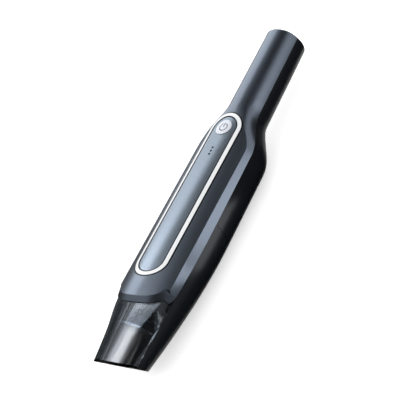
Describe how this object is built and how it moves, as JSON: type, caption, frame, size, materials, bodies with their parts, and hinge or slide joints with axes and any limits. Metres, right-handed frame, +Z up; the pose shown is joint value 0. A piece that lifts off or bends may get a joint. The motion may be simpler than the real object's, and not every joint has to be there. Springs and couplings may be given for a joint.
{
  "type": "handheld vacuum",
  "caption": "Slim cordless handheld vacuum: round handle, wide body with a ringed front panel and power button, smoked dust cup with a slanted nozzle.",
  "frame": {"origin": "under the middle of the vacuum, on the surface that it lies on, back down", "axes": "+X along the body towards the butt of the handle, +Z up out of the control panel, +Y to the side of the cup release button"},
  "size_m": [0.344, 0.0628, 0.059],
  "materials": {
    "shell_blue": "satin metallic paint",
    "back_dark": "gloss",
    "ring_white": "satin",
    "inlay_blue": "satin",
    "button_silver": "satin",
    "icon_grey": "satin",
    "lens_dark": "gloss",
    "circuit_board": "satin",
    "screw_steel": "brushed",
    "switch_black": "matte",
    "led_white": "gloss",
    "cell_can": "satin sleeve",
    "nickel_tab": "brushed",
    "inner_black": "matte",
    "port_steel": "satin",
    "motor_steel": "zinc plated",
    "bushing_brass": "satin",
    "magnet_ferrite": "matte",
    "rubber_black": "matte",
    "shaft_steel": "ground",
    "core_steel": "satin",
    "impeller_grey": "satin",
    "foam_grey": "open foam",
    "smoked_clear": "smoked clear gloss",
    "duct_dark": "gloss",
    "filter_paper": "pleated paper"
  },
  "bodies": {
    "main": {"front_shell": "shell_blue", "back_shell": "back_dark", "trim_ring": "ring_white", "panel_inlay": "inlay_blue", "led_lenses": "lens_dark", "main_board": "circuit_board", "board_screws": "screw_steel", "tact_switch": "switch_black", "status_leds": "led_white", "battery_cells": "cell_can", "cell_tabs": "nickel_tab", "battery_tube": "inner_black", "charge_board": "circuit_board", "charge_port": "port_steel", "motor_mount": "inner_black", "motor_plate": "inner_black", "motor_screws": "screw_steel", "motor_can": "motor_steel", "motor_cap": "inner_black", "motor_bushings": "bushing_brass", "motor_magnets": "magnet_ferrite", "motor_ring": "rubber_black", "exhaust_foam": "foam_grey", "case_screws": "screw_steel", "release_spring": "screw_steel"},
    "power": {"power_button": "button_silver", "power_icon": "icon_grey"},
    "rotor": {"motor_shaft": "shaft_steel", "rotor_core": "core_steel", "commutator": "bushing_brass", "impeller": "impeller_grey"},
    "cup": {"dust_cup": "smoked_clear", "cup_back": "back_dark", "inlet_duct": "duct_dark", "duct_plate": "duct_dark", "flap_pin": "shaft_steel"},
    "flap": {"flap_valve": "rubber_black"},
    "filter": {"filter_frame": "inner_black", "filter_cage": "inner_black", "filter_pleats": "filter_paper", "filter_cap": "inner_black", "filter_seal": "rubber_black"},
    "release": {"release_button": "back_dark"}
  },
  "joints": [
    {"name": "power_press", "type": "slide", "parent": "main", "child": "power", "axis": [0, 0, -1], "range_m": [0, 0.0005], "stiffness_N_per_m": 800},
    {"name": "release_press", "type": "slide", "parent": "main", "child": "release", "axis": [0, -1, 0], "range_m": [0, 0.0016], "stiffness_N_per_m": 1000, "deforming": ["release_spring"]},
    {"name": "rotor_spin", "type": "hinge", "parent": "main", "child": "rotor", "pos_m": [0, 0, 0.028], "axis": [1, 0, 0], "continuous": true},
    {"name": "cup_slide", "type": "slide", "parent": "main", "child": "cup", "axis": [-1, 0, 0], "range_m": [0, 0.115]},
    {"name": "filter_slide", "type": "slide", "parent": "cup", "child": "filter", "axis": [1, 0, 0], "range_m": [0, 0.081]},
    {"name": "flap_hinge", "type": "hinge", "parent": "cup", "child": "flap", "pos_m": [-0.1216, 0, 0.0503], "axis": [0, -1, 0], "range_deg": [0, 40], "stiffness_Nm_per_rad": 0.0015}
  ],
  "couplings": [
    {"joint": "filter_slide", "follows": "cup_slide", "ratio": 0.7}
  ]
}
